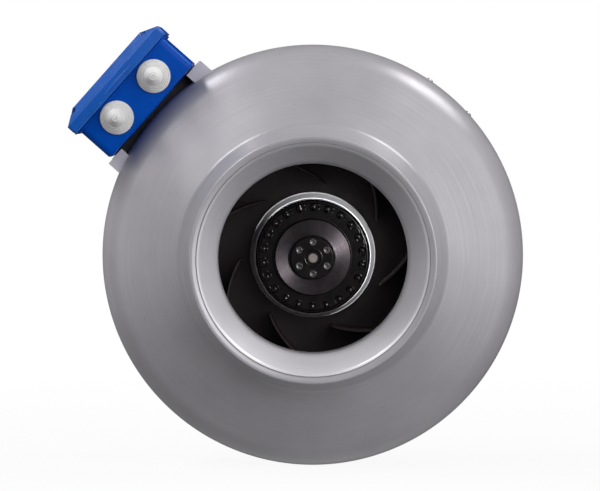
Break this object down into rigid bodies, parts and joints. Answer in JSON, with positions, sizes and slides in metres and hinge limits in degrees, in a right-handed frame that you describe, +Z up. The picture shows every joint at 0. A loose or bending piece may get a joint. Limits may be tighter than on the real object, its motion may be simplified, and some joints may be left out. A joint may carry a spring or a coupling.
{
  "type": "inline duct fan",
  "caption": "Round inline duct fan: spun two-part casing with inlet and outlet spigots, external-rotor motor with backward-curved impeller, and a side terminal box.",
  "frame": {"origin": "centre of the whole fan's bounding box; the fan's axis is 13.2 mm to +X, 7.3 mm down and its casing seam 8 mm forward of it", "axes": "+Y along the airflow, from inlet to outlet; +Z up; the terminal box sits at the upper left, towards -X and +Z, as seen from the inlet"},
  "size_m": [0.3702, 0.246, 0.3587],
  "materials": {
    "silver_paint": "satin silver powder coat",
    "black_paint": "satin black paint",
    "black_plastic": "satin",
    "label_film": "satin film",
    "bright_steel": "turned bright",
    "zinc_steel": "zinc plated",
    "lamination_steel": "stacked laminations",
    "cast_aluminium": "as cast",
    "copper_wire": "enamelled copper wire",
    "blue_plastic": "semi-gloss",
    "grey_rubber": "matt",
    "black_rubber": "matt",
    "pale_plastic": "satin"
  },
  "bodies": {
    "housing": {"inlet_casing": "silver_paint", "outlet_casing": "silver_paint", "inlet_nozzle": "silver_paint", "front_bearing_outer_race": "bright_steel", "rear_bearing_outer_race": "bright_steel", "wave_spring": "bright_steel", "motor_bracket": "zinc_steel", "wall_fixing_1": "zinc_steel", "wall_fixing_2": "zinc_steel", "bracket_screw_1": "zinc_steel", "bracket_screw_2": "zinc_steel", "bracket_screw_3": "zinc_steel", "bracket_screw_4": "zinc_steel", "flange_screw_1": "zinc_steel", "flange_screw_2": "zinc_steel", "flange_screw_3": "zinc_steel", "flange_screw_4": "zinc_steel", "box_screw_1": "zinc_steel", "box_screw_2": "zinc_steel", "stator_core": "lamination_steel", "stator_flange": "cast_aluminium", "capacitor": "cast_aluminium", "stator_winding_front": "copper_wire", "stator_winding_rear": "copper_wire", "terminal_box_base": "blue_plastic", "cable_grommet_1": "grey_rubber", "cable_grommet_2": "grey_rubber", "casing_seal": "black_rubber", "casing_grommet": "black_rubber", "motor_cable": "black_rubber", "box_pad": "black_rubber", "box_bracket": "pale_plastic", "terminal_block": "pale_plastic"},
    "rotor": {"rotor_cup": "black_paint", "rotor_core": "lamination_steel", "rotor_hub": "black_paint", "label_disc": "label_film", "clamp_ring": "bright_steel", "shaft": "bright_steel", "shaft_circlip": "zinc_steel", "impeller_hub": "black_plastic", "impeller_shroud": "black_plastic", "front_bearing_inner_race": "bright_steel", "rear_bearing_inner_race": "bright_steel", "hub_rivet_1": "zinc_steel", "hub_rivet_2": "zinc_steel", "hub_rivet_3": "zinc_steel", "hub_rivet_4": "zinc_steel", "hub_rivet_5": "zinc_steel", "hub_rivet_6": "zinc_steel"},
    "front_cage": {"front_bearing_cage": "bright_steel"},
    "rear_cage": {"rear_bearing_cage": "bright_steel"},
    "lid": {"terminal_box_lid": "blue_plastic", "lid_gasket": "black_rubber", "lid_screw_1": "zinc_steel", "lid_screw_2": "zinc_steel", "lid_screw_3": "zinc_steel", "lid_screw_4": "zinc_steel"}
  },
  "joints": [
    {"name": "rotor_spin", "type": "hinge", "parent": "housing", "child": "rotor", "pos_m": [0.0132, -0.008, -0.0073], "axis": [0, 1, 0], "continuous": true},
    {"name": "front_cage_roll", "type": "hinge", "parent": "housing", "child": "front_cage", "pos_m": [0.0132, -0.008, -0.0073], "axis": [0, 1, 0], "continuous": true},
    {"name": "rear_cage_roll", "type": "hinge", "parent": "housing", "child": "rear_cage", "pos_m": [0.0132, -0.008, -0.0073], "axis": [0, 1, 0], "continuous": true},
    {"name": "lid_lift", "type": "slide", "parent": "housing", "child": "lid", "axis": [-0.7478, 0, 0.6639], "range_m": [0, 0.08]}
  ],
  "couplings": [
    {"joint": "front_cage_roll", "follows": "rotor_spin", "ratio": 0.4},
    {"joint": "rear_cage_roll", "follows": "rotor_spin", "ratio": 0.4}
  ]
}
